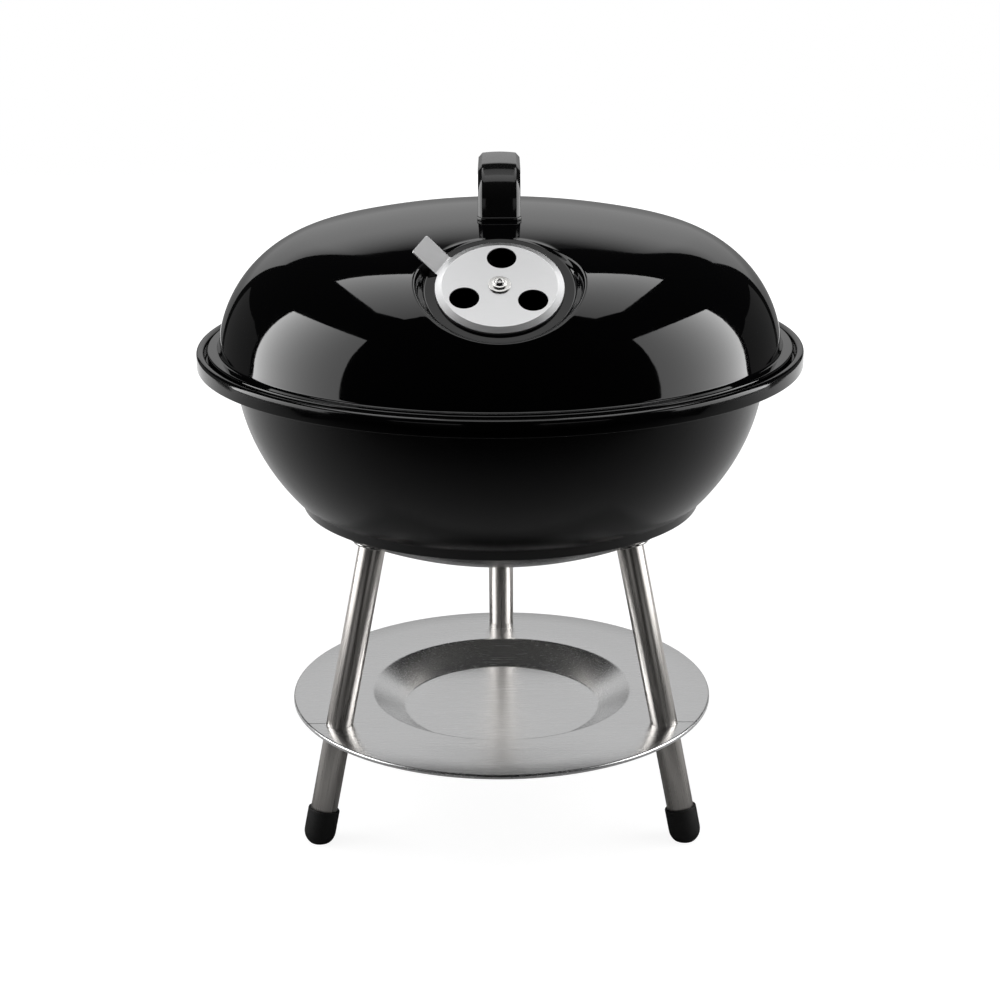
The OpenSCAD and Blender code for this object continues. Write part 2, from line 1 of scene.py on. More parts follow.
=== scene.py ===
# %% [markdown]
# Kettle charcoal grill, dressed in Blender.
#
# The grill is a round enamelled bowl and lid on three splayed steel legs. The solids that give
# its sizes and its moving parts are loaded first and stay where they are. Each cell after that
# models one piece of the grill over its solid, or mixes one of its finishes.

# %% Load the solid model
import math

import bpy
from mathutils import Matrix, Vector


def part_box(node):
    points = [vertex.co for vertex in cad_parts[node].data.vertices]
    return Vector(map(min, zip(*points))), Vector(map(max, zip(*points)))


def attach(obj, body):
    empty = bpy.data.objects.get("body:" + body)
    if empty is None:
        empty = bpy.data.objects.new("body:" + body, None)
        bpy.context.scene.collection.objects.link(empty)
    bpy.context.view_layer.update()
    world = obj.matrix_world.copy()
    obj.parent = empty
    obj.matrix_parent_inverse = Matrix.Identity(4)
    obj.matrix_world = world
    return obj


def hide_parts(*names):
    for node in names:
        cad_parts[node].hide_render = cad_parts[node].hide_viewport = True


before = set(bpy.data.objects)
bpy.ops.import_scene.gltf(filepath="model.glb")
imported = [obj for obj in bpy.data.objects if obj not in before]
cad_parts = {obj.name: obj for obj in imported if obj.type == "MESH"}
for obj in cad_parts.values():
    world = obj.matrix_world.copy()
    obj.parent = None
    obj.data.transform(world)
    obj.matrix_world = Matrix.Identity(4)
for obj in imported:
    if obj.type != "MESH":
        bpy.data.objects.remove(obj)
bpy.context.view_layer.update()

# %% [markdown]
# Every operator works on what is selected, and the loaded solids come in selected. So the first
# helpers clear the selection, open one piece in edit mode and close it again. Sizes are written
# in millimetres and turned into metres here.

# %% Helpers: one piece at a time
MM = 0.001


def deselect():
    if bpy.context.object and bpy.context.object.mode != "OBJECT":
        bpy.ops.object.mode_set(mode="OBJECT")
    bpy.ops.object.select_all(action="DESELECT")


def hold(piece):
    deselect()
    piece.select_set(True)
    bpy.context.view_layer.objects.active = piece


def start_edit(piece, kind="VERT"):
    hold(piece)
    bpy.ops.object.mode_set(mode="EDIT")
    bpy.ops.mesh.select_mode(type=kind)
    bpy.ops.mesh.select_all(action="SELECT")


def end_edit():
    bpy.ops.object.mode_set(mode="OBJECT")


def pick_faces(piece, wanted):
    # leaves edit mode open with the faces for which wanted(centre, normal) is true selected
    start_edit(piece, "FACE")
    bpy.ops.mesh.select_all(action="DESELECT")
    end_edit()
    for face in piece.data.polygons:
        face.select = bool(wanted(face.center, face.normal))
    bpy.ops.object.mode_set(mode="EDIT")


def close_up(threshold=1e-6):
    # merges doubled points, turns the faces outwards and leaves edit mode
    bpy.ops.mesh.select_all(action="SELECT")
    bpy.ops.mesh.remove_doubles(threshold=threshold)
    bpy.ops.mesh.normals_make_consistent(inside=False)
    end_edit()


def take_new(name):
    piece = bpy.context.object
    piece.name = name
    piece.data.name = name
    return piece


def extrude(x, y, z):
    bpy.ops.mesh.extrude_region_move(
        TRANSFORM_OT_translate={"value": (x * MM, y * MM, z * MM)})


def apply_modifier(piece, kind, **settings):
    hold(piece)
    modifier = piece.modifiers.new(kind.lower(), kind)
    for key, value in settings.items():
        setattr(modifier, key, value)
    bpy.ops.object.modifier_apply(modifier=modifier.name)


def put(piece, place):
    # turns and moves a piece, and writes its place into its mesh
    hold(piece)
    piece.matrix_world = place @ piece.matrix_world
    bpy.ops.object.transform_apply(location=True, rotation=True, scale=True)


def block(name, centre, size, degrees=0):
    deselect()
    bpy.ops.mesh.primitive_cube_add(size=MM, location=[side * MM for side in centre],
                                    scale=size, rotation=(0, 0, math.radians(degrees)))
    piece = take_new(name)
    put(piece, Matrix())
    return piece


def copy_of(piece, name):
    hold(piece)
    bpy.ops.object.duplicate(linked=False)
    return take_new(name)


def join(pieces, name):
    deselect()
    for piece in pieces:
        piece.select_set(True)
    bpy.context.view_layer.objects.active = pieces[0]
    bpy.ops.object.join()
    return take_new(name)


def smooth(piece, degrees=30):
    hold(piece)
    bpy.ops.object.shade_smooth_by_angle(angle=math.radians(degrees))


def cut(piece, cutter, way="DIFFERENCE", self_cutting=False):
    apply_modifier(piece, "BOOLEAN", object=cutter, operation=way, solver="EXACT",
                   use_self=self_cutting)
    bpy.data.objects.remove(cutter)


print("helpers ready")

# %% [markdown]
# Most of the grill is round: bowl, lid, tray, feet, washers. A turner would describe each by
# the outline of its section, so the next helpers do too. `arc` and `rounded` write outlines,
# and `lathe` draws one by extruding a single point along it and spins it about the upright
# axis. Rounded corners are in the outline itself, because a corner with no radius never
# catches the light as pressed sheet does.

# %% Helpers: outlines and turned pieces
def arc(across, height, radius, start, end, steps):
    return [(across + radius * math.cos(math.radians(start + (end - start) * i / steps)),
             height + radius * math.sin(math.radians(start + (end - start) * i / steps)))
            for i in range(steps + 1)]


def rounded(path, steps=5):
    # corners are (radius, height) or (radius, height, corner radius)
    outline = [path[0][:2]]
    for before, corner, after in zip(path, path[1:], path[2:]):
        if len(corner) < 3:
            outline.append(corner[:2])
            continue
        here = Vector(corner[:2])
        back, ahead = Vector(before[:2]) - here, Vector(after[:2]) - here
        half = back.angle(ahead) / 2
        reach = min(corner[2] / math.tan(half), 0.49 * back.length, 0.49 * ahead.length)
        size = reach * math.tan(half)
        middle = (back.normalized() + ahead.normalized()).normalized()
        centre = here + middle * size / math.sin(half)
        first = here + back.normalized() * reach - centre
        last = here + ahead.normalized() * reach - centre
        start = math.atan2(first.y, first.x)
        turn = (math.atan2(last.y, last.x) - start + math.pi) % (2 * math.pi) - math.pi
        outline += [tuple(centre + Vector((math.cos(start + turn * i / steps),
                                           math.sin(start + turn * i / steps))) * size)
                    for i in range(steps + 1)]
    return outline + [path[-1][:2]]


def lathe(name, outline, steps=96, degrees=360, closed=False):
    points = outline + [outline[0]] if closed else outline
    deselect()
    bpy.ops.mesh.primitive_plane_add(size=MM)
    piece = take_new(name)
    start_edit(piece)
    bpy.ops.mesh.merge(type="CENTER")
    bpy.ops.transform.translate(value=(points[0][0] * MM, 0, points[0][1] * MM))
    for (r0, z0), (r1, z1) in zip(points, points[1:]):
        bpy.ops.mesh.extrude_vertices_move(
            TRANSFORM_OT_translate={"value": ((r1 - r0) * MM, 0, (z1 - z0) * MM)})
    bpy.ops.mesh.select_all(action="SELECT")
    bpy.ops.mesh.spin(steps=steps, angle=math.radians(degrees), center=(0, 0, 0), axis=(0, 0, 1))
    close_up()
    return piece


def washer(name, radius, hole, low, high, corner):
    middle = (hole, (low + high) / 2)
    return lathe(name, rounded([middle, (hole, low, corner), (radius, low, corner),
                                (radius, high, corner), (hole, high, corner), middle]),
                 steps=64, closed=True)


def drill(radius, x=0, y=0, depth=12):
    deselect()
    bpy.ops.mesh.primitive_cylinder_add(vertices=64, radius=radius * MM, depth=depth * MM,
                                        location=(x * MM, y * MM, 0))
    return take_new("drill")


def three_drills(radius, ring, first_turn, depth=12):
    return [drill(radius, ring * math.cos(math.radians(turn)),
                  ring * math.sin(math.radians(turn)), depth)
            for turn in (first_turn, first_turn + 120, first_turn + 240)]


print("turning helpers ready")

# %% [markdown]
# Four places on the grill are at an angle: the vent's seat on the front of the lid, and the
# three legs. Each gets a matrix that stands on it with Z square to it, so a piece is modelled
# upright at the origin and then put in its place once.

# %% Places: the vent's seat and the three legs
VENT_Y, VENT_Z, VENT_TILT = -112.5, 348.807, 32
LEG_TURNS = {"front_left": -60, "front_right": 60, "back": 180}
LEG_TOP_R, LEG_TOP_Z, LEG_SPLAY, LEG_LENGTH = 87, 182.96, 12.81, 187.6


def moved(x, y, z):
    return Matrix.Translation((x * MM, y * MM, z * MM))


def turned(degrees, axis="Z"):
    return Matrix.Rotation(math.radians(degrees), 4, axis)


def leg_place(turn):
    return turned(turn) @ moved(0, -LEG_TOP_R, LEG_TOP_Z) @ turned(-LEG_SPLAY, "X")


VENT = moved(0, VENT_Y, VENT_Z) @ turned(VENT_TILT, "X")
for leg, turn in LEG_TURNS.items():
    foot_at = leg_place(turn) @ Vector((0, 0, -LEG_LENGTH * MM))
    print("leg", leg, "stands at", [round(v / MM, 1) for v in foot_at])

# %% [markdown]
# A finish is written as sums on sockets. `Value` wraps one socket and overloads the operators
# that are needed, so that `1 - grain` or `grain * mask` adds its own Math node, and
# `Finish.node` adds any other node from its type, its settings and its inputs.

# %% Helpers: finishes
class Value:
    def __init__(self, finish, socket):
        self.finish, self.socket = finish, socket

    def __sub__(self, other):
        return self.finish.maths("SUBTRACT", self, other)

    def __rsub__(self, other):
        return self.finish.maths("SUBTRACT", other, self)

    def __mul__(self, other):
        return self.finish.maths("MULTIPLY", self, other)

    __rmul__ = __mul__


class Finish:
    def __init__(self, name, **constants):
        self.material = bpy.data.materials.new(name)
        self.material.use_nodes = True
        self.tree = self.material.node_tree
        self.shader = self.tree.nodes["Principled BSDF"]
        for socket, value in constants.items():
            self.shader.inputs[socket.replace("_", " ")].default_value = value

    def node(self, kind, settings=None, result=0, **inputs):
        made = self.tree.nodes.new("ShaderNode" + kind)
        for key, value in (settings or {}).items():
            setattr(made, key, value)
        for key, value in inputs.items():
            at = int(key[1:]) if key[1:].isdigit() else key.replace("_", " ")
            self.feed(made.inputs[at], value)
        return Value(self, made.outputs[result])

    def feed(self, socket, value):
        if isinstance(value, Value):
            self.tree.links.new(value.socket, socket)
        else:
            socket.default_value = value

    def maths(self, operation, left, right):
        return self.node("Math", {"operation": operation}, i0=left, i1=right)

    def place(self, attribute=None):
        if attribute:
            return self.node("Attribute", {"attribute_name": attribute}, result="Vector")
        return self.node("TexCoord", result="Object")

    def stretched(self, where, x, y, z):
        return self.node("VectorMath", {"operation": "MULTIPLY"}, i0=where, i1=(x, y, z))

    def noise(self, where, scale, detail):
        return self.node("TexNoise", Vector=where, Scale=scale, Detail=detail)

    def spread(self, value, low, high, to_low, to_high):
        return self.node("MapRange", Value=value, From_Min=low, From_Max=high,
                         To_Min=to_low, To_Max=to_high)

    def tint(self, share, colour_a, colour_b):
        # a Mix node keeps its two colours on sockets 6 and 7, and its mixed colour on result 2
        return self.node("Mix", {"data_type": "RGBA"}, result=2, Factor=share,
                         i6=(*colour_a, 1), i7=(*colour_b, 1))

    def relief(self, height, strength, distance):
        self.feed(self.shader.inputs["Normal"],
                  self.node("Bump", Strength=strength, Distance=distance, Height=height))

    def varies(self, socket, value):
        self.feed(self.shader.inputs[socket], value)


def wear(piece, finish, body, slot, *nodes):
    # dresses a finished piece, hangs it on its body and lets it stand for its solids
    piece.data.materials.clear()
    piece.data.materials.append(finish.material)
    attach(piece, body)
    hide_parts(*nodes)
    size = [round(side / MM, 1) for side in piece.dimensions]
    print(piece.name, "size", size, "faces", len(piece.data.polygons))


print("finish helpers ready")

# %% [markdown]
# The lid and bowl are porcelain enamel on steel: glass, baked on. It is jet black and glossy
# on the lid, with the faint orange-peel waviness that enamel keeps from its spraying. The
# bowl's enamel is from the same family but fired flatter, so its highlights spread wide.
# Only its rolled rim comes out nearly as glossy as the lid.

# %% Enamel on the lid and the bowl
RIM_GLOSS_FROM, RIM_GLOSS_TO = 0.280, 0.284

lid_enamel = Finish("lid_enamel", Base_Color=(0.0012, 0.0012, 0.0014, 1), IOR=1.5)
skin = lid_enamel.noise(lid_enamel.place(), 260, 1.0)
lid_enamel.varies("Roughness", lid_enamel.spread(
    lid_enamel.noise(lid_enamel.place(), 45, 3.0), 0.3, 0.7, 0.03, 0.055))
lid_enamel.relief(skin, 0.03, 0.0002)

bowl_enamel = Finish("bowl_enamel", Base_Color=(0.0015, 0.0015, 0.0017, 1), IOR=1.5)
grain = bowl_enamel.noise(bowl_enamel.place(), 900, 2.0)
height = bowl_enamel.node("SeparateXYZ", result="Z", i0=bowl_enamel.place())
bowl_enamel.varies("Roughness", bowl_enamel.spread(
    bowl_enamel.noise(bowl_enamel.place(), 60, 3.0), 0.3, 0.7, 0.20, 0.25)
    - bowl_enamel.spread(height, RIM_GLOSS_FROM, RIM_GLOSS_TO, 0.0, 0.13))
bowl_enamel.relief(grain, 0.06, 0.0002)
print("enamels mixed")

# %% [markdown]
# The metal pieces are all steel, told apart by how they were finished. The dampers and the
# tray are satin sheet with a fine straight grain, the legs are brushed lengthwise, and the
# grates and fasteners are bright, with fine pits. A brushed grain is noise, stretched hard
# along the brushing. The legs stand at an angle and a damper turns, so their grain is read
# from an attribute that keeps the piece's own upright coordinates.

# %% Steel finishes
def steel(name, grain_of, dark, light, glossy, dull, relief=0.0):
    # bare metal whose colour and gloss both follow one grain
    finish = Finish(name, Metallic=1.0)
    grain = grain_of(finish)
    finish.varies("Base Color", finish.tint(grain, dark, light))
    finish.varies("Roughness", finish.spread(grain, 0.3, 0.7, glossy, dull))
    if relief:
        finish.relief(grain, relief, 0.0001)
    return finish


def brushed(stretch, scale, attribute=None):
    return lambda finish: finish.noise(
        finish.stretched(finish.place(attribute), *stretch), scale, 3.0)


def pitted(scale, detail):
    return lambda finish: finish.noise(finish.place(), scale, detail)


damper_steel = steel("damper_steel", brushed((30, 900, 30), 3.0, "own_shape"),
                     (0.59, 0.592, 0.595), (0.63, 0.632, 0.637), 0.33, 0.38, relief=0.02)
leg_steel = steel("leg_steel", brushed((1000, 1000, 12), 2.0, "own_shape"),
                  (0.50, 0.475, 0.450), (0.78, 0.755, 0.725), 0.26, 0.34, relief=0.10)
tray_steel = steel("tray_steel", brushed((12, 1100, 1100), 1.5),
                   (0.92, 0.922, 0.926), (0.975, 0.977, 0.981), 0.24, 0.28, relief=0.005)
grate_chrome = steel("grate_chrome", pitted(500, 3.0),
                     (0.50, 0.50, 0.51), (0.72, 0.72, 0.73), 0.10, 0.24)
bright_steel = steel("fastener_steel", pitted(700, 2.0),
                     (0.58, 0.575, 0.56), (0.70, 0.695, 0.68), 0.14, 0.24)
print("steels mixed")

# %% [markdown]
# The handle is a moulded black thermoset, shiny but with a softer edge to its reflections than
# the enamel. The feet are matt rubber caps with the fine tooth of their mould.

# %% Handle plastic and foot rubber
handle_plastic = Finish("handle_plastic", Base_Color=(0.006, 0.006, 0.006, 1), IOR=1.5)
handle_plastic.varies("Roughness", handle_plastic.spread(
    handle_plastic.noise(handle_plastic.place(), 90, 3.0), 0.3, 0.7, 0.07, 0.13))
handle_plastic.relief(handle_plastic.noise(handle_plastic.place(), 420, 1.0), 0.03, 0.0002)

foot_rubber = Finish("foot_rubber", IOR=1.5)
tooth = foot_rubber.noise(foot_rubber.place(), 1400, 3.0)
foot_rubber.varies("Base Color", foot_rubber.tint(tooth, (0.003,) * 3, (0.009,) * 3))
foot_rubber.varies("Roughness", foot_rubber.spread(tooth, 0.3, 0.7, 0.55, 0.75))
foot_rubber.relief(tooth, 0.3, 0.0003)
print("plastic and rubber mixed")

# %% [markdown]
# The lid is one pressed sheet 1.2 mm thick: a shallow crown, a round shoulder and a stepped
# flange that drops inside the bowl's lip. It is turned as a single skin from its outer
# outline, with rings close enough together that the gloss shows no facets.

# %% Lid: the turned skin
SHEET = 1.2
CROWN_Z, CROWN_R, CROWN_END = -81.3, 455.0, 13.896
SHOULDER_R, SHOULDER_AT, SHOULDER_Z = 74.0, 91.5, 288.55

lid = lathe("lid_dome",
            arc(0, CROWN_Z, CROWN_R, 90, 90 - CROWN_END, 40)
            + arc(SHOULDER_AT, SHOULDER_Z, SHOULDER_R, 90 - CROWN_END, 9, 34)[1:]
            + rounded([(164.9, 298.5), (165.4, 295.3, 1.8), (171.5, 295.3, 1.1),
                       (171.5, 286.8)], 6),
            steps=288)
print("lid skin faces", len(lid.data.polygons))

# %% [markdown]
# The vent sits on a flat round seat pressed into the front of the dome. The dome curves away
# under it, so the seat is a steep-walled recess on its downhill side and stands a little
# proud uphill. Rings of points that follow the seat's own circle show such a wall far more
# cleanly than the dome's rings can. So the dome is opened round the vent, and a round patch
# is turned with as many steps as the opening has points. Its outer rings swing round little
# by little, until the last one meets the opening point for point and can be merged with it.

# %% Lid: opening the dome round the vent
SEAT_R, PATCH_R = 41.0, 50.0
UP = VENT.to_3x3() @ Vector((0, 0, 1))


def near_vent(point, reach):
    here = VENT.inverted() @ point
    return math.hypot(here.x, here.y) < reach * MM and abs(here.z) < 25 * MM


def turn_of(point):
    return math.atan2(point.y, point.x) % math.tau


pick_faces(lid, lambda centre, normal: near_vent(centre, PATCH_R + 1))
bpy.ops.mesh.delete(type="FACE")
bpy.ops.mesh.select_mode(type="VERT")
bpy.ops.mesh.select_non_manifold()
end_edit()
opening = sorted((VENT.inverted() @ vertex.co for vertex in lid.data.vertices
                  if vertex.select and vertex.co.z > 0.3), key=turn_of)
print("points round the opening", len(opening))

# %% [markdown]
# Round the flat seat the pressed sheet takes the slopes of the tool: a steep wall up to the
# dome where the seat is sunk, and a gentler apron down to it where the seat stands proud. The
# patch is shaped the same way, with a soft bend wherever one slope takes over from another,
# and towards its edge the press fades out.

# %% Lid: pressing the seat
WALL_BEND, APRON_BEND, WALL_SLOPE = 8.0, 3.0, 2.5
EDGE_SOFT, FADE_FROM, FADE_TO = 1.5, 43.5, 48.5


def dome_point(point):
    # the point of the dome's face straight out from its own crown or shoulder centre
    across = math.hypot(point.x, point.y)
    if math.degrees(math.atan2(across, point.z - CROWN_Z * MM)) < CROWN_END:
        centre = Vector((0, 0, CROWN_Z * MM))
        return centre + (point - centre).normalized() * CROWN_R * MM
    centre = Vector((point.x, point.y, 0)) * (SHOULDER_AT * MM / across)
    centre.z = SHOULDER_Z * MM
    return centre + (point - centre).normalized() * SHOULDER_R * MM


def dome_over_seat(x, y):
    # the dome's height over the seat's plane, found by stepping up to it
    height = 0.0
    for _ in range(14):
        point = VENT @ Vector((x, y, height))
        height += (dome_point(point) - point).dot(UP)
    return height / MM


def soft_min(a, b, bend):
    return min(a, b) - (max(bend - abs(a - b), 0) ** 2 / (4 * bend) if bend else 0)


def share_of(value, start, end):
    return min(1.0, max(0.0, (value - start) / (end - start)))


def eased(share):
    return share * share * (3 - 2 * share)


def pressed(x, y):
    # the sheet's height over the seat's plane: 0 on the seat, and the dome's far from it
    reach = math.hypot(x, y) / MM
    away = reach - SEAT_R
    ramp = max(away, 0.0)
    if abs(away) < EDGE_SOFT:
        ramp = (away + EDGE_SOFT) ** 2 / (4 * EDGE_SOFT)
    soft = share_of(away, -EDGE_SOFT, EDGE_SOFT)
    dome = dome_over_seat(x, y)
    over_apron = -soft_min(-dome, ramp, APRON_BEND * soft)
    under_wall = soft_min(over_apron, WALL_SLOPE * ramp, WALL_BEND * soft)
    fade = eased(share_of(reach, FADE_FROM, FADE_TO))
    return (under_wall + fade * (dome - under_wall)) * MM


print("the dome stands over the seat's middle by", round(dome_over_seat(0, 0), 2))


# %% Lid: fitting the patch to the opening
# the opening's points stand unevenly: calm is that unevenness without its zigzag
STEP, SWING_FROM = math.tau / len(opening), 44
drift = [(turn_of(point) - STEP * k + math.pi) % math.tau - math.pi
         for k, point in enumerate(opening)]
calm = [sum(drift[(k + j) % len(drift)] for j in range(-7, 8)) / 15 for k in range(len(drift))]
patch = lathe("seat_patch", [(r, 0) for r in (0, 3, 12, 21, 30, 36)]
              + [(38.5 + 0.35 * i, 0) for i in range(26)]
              + [(48.1, 0), (49.0, 0), (PATCH_R, 0)], steps=len(opening))
for vertex in patch.data.vertices:
    k = round(turn_of(vertex.co) / STEP) % len(opening)
    reach = vertex.co.length
    if reach > (PATCH_R - 0.1) * MM:
        vertex.co = opening[k]
        continue
    share = share_of(reach / MM, SWING_FROM, PATCH_R)
    turn = STEP * k + calm[k] + share * (drift[k] - calm[k])
    x, y = reach * math.cos(turn), reach * math.sin(turn)
    vertex.co = (x, y, pressed(x, y))
put(patch, VENT)
lid = join([lid, patch], "lid_dome")
start_edit(lid)
close_up(threshold=1e-5)
crown_faces = [face for face in lid.data.polygons if face.center.z > 0.36]
if crown_faces[0].normal.z < 0:
    start_edit(lid)
    bpy.ops.mesh.flip_normals()
    end_edit()
print("lid skin with its seat", len(lid.data.polygons))

# %% [markdown]
# Solidify gives the skin its wall, inwards, so the outside keeps its size. The three round
# vent holes and the bolt's hole are then drilled square to the seat.

# %% Lid: wall and vent holes
VENT_HOLES = {"radius": 8, "ring": 21, "first_turn": 87}

apply_modifier(lid, "SOLIDIFY", thickness=SHEET * MM, offset=-1, use_even_offset=True)
for hole in three_drills(**VENT_HOLES):
    put(hole, VENT)
    cut(lid, hole)
shank = drill(2.7)
put(shank, VENT)
cut(lid, shank)
smooth(lid, 40)
wear(lid, lid_enamel, "lid", "lid_enamel", "lid_shell")

# %% [markdown]
# The bowl's wall is drawn as one closed outline, outside and inside together, because its
# rolled lip doubles back on itself: up the side, under the ledge, round inside the roll and
# back over it, then down inside. Where the ash dish meets the side there is a narrow step.

# %% Bowl: the turned wall
RIM_Z, WALL_R, DEPTH, STEP_Z, DISH_TOP = 285.3, 156.0, 130.0, 205.02, 403.5
DISH_R, ROLL_R, ROLL_Z = 237.08, 175.65, 292.45


def side_r(height, inside):
    return (WALL_R - inside) * math.sqrt(1 - ((RIM_Z - height) / (DEPTH - inside)) ** 2)


def side(inside, low):
    # the points stand closer together towards the rim, where the wall turns upright
    steps = 40
    heights = [low + (RIM_Z - low) * math.sin(math.radians(90 * i / steps))
               for i in range(steps + 1)]
    return [(side_r(z, inside), z) for z in heights]


def dish(reach, below, steps=36):
    radii = [reach * i / steps for i in range(steps + 1)]
    return [(r, DISH_TOP - math.sqrt((DISH_R + below) ** 2 - r * r)) for r in radii]


outside = (dish(118.6, 0)[:-1]
           + rounded([dish(118.6, 0)[-1], (118.95, 198.42, 1.2), (120.6, 204.3, 1.0),
                      (121.9, STEP_Z, 0.8), side(0, STEP_Z)[1]], 4)[:-1] + side(0, STEP_Z)[1:-1])
lip = (rounded([(WALL_R, 284.2), (WALL_R, RIM_Z, 1.0), (174.5, RIM_Z, 0.5), (174.5, ROLL_Z)], 4)
       + arc(ROLL_R, ROLL_Z, 1.15, 180, 0, 8)
       + rounded([(176.8, ROLL_Z), (176.8, RIM_Z, 0.25), (178, RIM_Z, 0.45), (178, ROLL_Z)], 4)
       + arc(ROLL_R, ROLL_Z, 2.35, 0, 180, 16)[1:]
       + rounded([(173.3, 292.4), (173.3, 286.5, 0.8), (154.8, 286.5, 1.4),
                  (154.75, 283.5)], 5)[1:])
inside = ([point for point in reversed(side(SHEET, 206.22)) if point[1] < 283]
          + rounded([(121.6, 206.3), (120.4, 206.22, 0.8), (119.4, 204.2, 1.0),
                     dish(117.7, -SHEET)[-1]], 4)[1:-1]
          + dish(117.7, -SHEET)[::-1])
bowl = lathe("bowl_body", outside + lip + inside, steps=256)
print("bowl faces", len(bowl.data.polygons))

# %% [markdown]
# Each leg meets the bowl on a flat pad pressed square to the leg. The pads are pressed as the
# vent's seat was: the faces round them get finer, the points go back on the dish, and those
# near the leg's axis are brought onto the pad.

# %% Bowl: leg pads
PAD_R, PAD_BLEND = 12.6, 3.4


def near_pad(point, turn, reach):
    here = leg_place(turn).inverted() @ point
    return math.hypot(here.x, here.y) < reach * MM and abs(here.z) < 9 * MM


def press_pad(point, turn):
    centre = Vector((0, 0, DISH_TOP * MM))
    radius = (point - centre).length / MM
    inner = SHEET if radius < DISH_R - SHEET / 2 else 0.0
    point = centre + (point - centre).normalized() * (DISH_R - inner) * MM
    here = leg_place(turn).inverted() @ point
    share = eased(share_of(math.hypot(here.x, here.y) / MM, PAD_R, PAD_R + PAD_BLEND))
    here.z = inner * MM * (1 - share) + here.z * share
    return leg_place(turn) @ here


for turn in LEG_TURNS.values():
    pick_faces(bowl, lambda centre, normal: near_pad(centre, turn, 18))
    bpy.ops.mesh.subdivide(number_cuts=1)
    end_edit()
    for vertex in bowl.data.vertices:
        if near_pad(vertex.co, turn, 20):
            vertex.co = press_pad(vertex.co, turn)
print("pads pressed")

# %% [markdown]
# Ash falls through three round holes at the bottom of the dish.

# %% Bowl: ash holes
ASH_HOLES, DISH_LOW = {"radius": 10, "ring": 27, "first_turn": 60, "depth": 14}, 168

for hole in three_drills(**ASH_HOLES):
    put(hole, moved(0, 0, DISH_LOW))
    cut(bowl, hole)
smooth(bowl, 40)
wear(bowl, bowl_enamel, "root", "bowl_enamel", "bowl_shell")

# %% [markdown]
# The vent's damper is a shallow cap of stainless sheet. Its flat top carries the same three
# holes as the lid, and its rim slopes down to the seat. It is turned with soft corners and
# drilled. Its own upright shape is stored first, so that the brushing turns with it.

# %% Helpers: remembering a piece's own shape
def remember_shape(piece):
    kept = piece.data.attributes.new("own_shape", "FLOAT_VECTOR", "POINT")
    for vertex in piece.data.vertices:
        kept.data[vertex.index].vector = vertex.co


# %% Damper: turned cap with its holes
damper = lathe("vent_damper_cap", rounded(
    [(0, 3.2), (30.9, 3.2, 0.5), (34.55, 1.75, 0.35), (34.7, 0.9, 0.4), (34.7, 0.2, 0.15),
     (33.75, 0.2, 0.1), (33.5, 1.1, 0.4), (30.4, 2.2, 1.0), (0, 2.2)], 6), steps=160)
for hole in three_drills(**VENT_HOLES):
    cut(damper, hole)
cut(damper, drill(2.8))
apply_modifier(damper, "BEVEL", width=0.15 * MM, segments=2, angle_limit=math.radians(60))
print("damper cap", len(damper.data.polygons))

# %% [markdown]
# The tab for turning it is a strip of the same sheet that leaves the rim and bends up. It
# starts as a thin plate, its end face is spun about the bend and then extruded along the bent
# part, and its outer corners and all its edges are bevelled.

# %% Damper: the bent tab
TAB_WIDTH, TAB_BEND, TAB_REACH, TAB_TURN = 15, 34, 16.8, 150
TAB_RISE = Vector((math.cos(math.radians(TAB_BEND)), 0, math.sin(math.radians(TAB_BEND))))


def spin_face(centre, axis, degrees, steps):
    # carries the selected face round a bend; an open spin may turn the shape inside out
    bpy.ops.mesh.spin(steps=steps, angle=math.radians(degrees), axis=axis,
                      center=[side * MM for side in centre])


tab = block("vent_damper_tab", (34, 0, 0.7), (2.2, TAB_WIDTH, 0.9))
pick_faces(tab, lambda centre, normal: normal.x > 0.9)
spin_face((35.1, 0, 1.75), (0, 1, 0), TAB_BEND, 5)
extrude(*TAB_RISE * TAB_REACH)
close_up()
print("tab faces", len(tab.data.polygons))

# %% Damper: tab corners, and the whole damper in place
def pick_edges(piece, wanted):
    # leaves edit mode open with the edges for which wanted(middle, direction) is true selected
    start_edit(piece, "EDGE")
    bpy.ops.mesh.select_all(action="DESELECT")
    end_edit()
    points = piece.data.vertices
    for edge in piece.data.edges:
        a, b = (points[i].co for i in edge.vertices)
        edge.select = bool(wanted((a + b) / 2, (b - a).normalized()))
    bpy.ops.object.mode_set(mode="EDIT")


# the two short edges at the tab's end that cross its thickness
pick_edges(tab, lambda middle, way: middle.x > 46 * MM and abs(middle.y) > 7 * MM
           and abs(way.y) < 0.1 and abs(way.dot(TAB_RISE)) < 0.4)
print("tab corners", sum(edge.select for edge in tab.data.edges))
bpy.ops.mesh.bevel(offset=1.2 * MM, segments=5)
end_edit()
apply_modifier(tab, "BEVEL", width=0.18 * MM, segments=2, angle_limit=math.radians(40))
put(tab, turned(TAB_TURN))
damper = join([damper, tab], "vent_damper")
remember_shape(damper)
put(damper, VENT)
smooth(damper, 35)
apply_modifier(damper, "WEIGHTED_NORMAL", keep_sharp=True)
wear(damper, damper_steel, "lid_damper", "damper_steel", "lid_damper")

# %% [markdown]
# The damper turns on a bolt with a low domed head. The head has a small dimple on top where
# its end was pressed, and a spring washer under it.

# %% Damper: bolt and washer
bolt = lathe("vent_bolt", rounded([(0, 5.9), (0.7, 5.9, 0.4), (1.3, 6.9, 0.4), (2.2, 7.0, 0.8),
                                   (2.9, 5.3, 0.6), (4.1, 5.2, 0.4), (4.1, 4.2, 0.3), (2.5, 4.2),
                                   (2.5, -8, 0.4), (0, -8)], 5), steps=64)
put(bolt, VENT)
smooth(bolt, 40)
wear(bolt, bright_steel, "lid", "fastener_steel", "lid_damper_bolt")

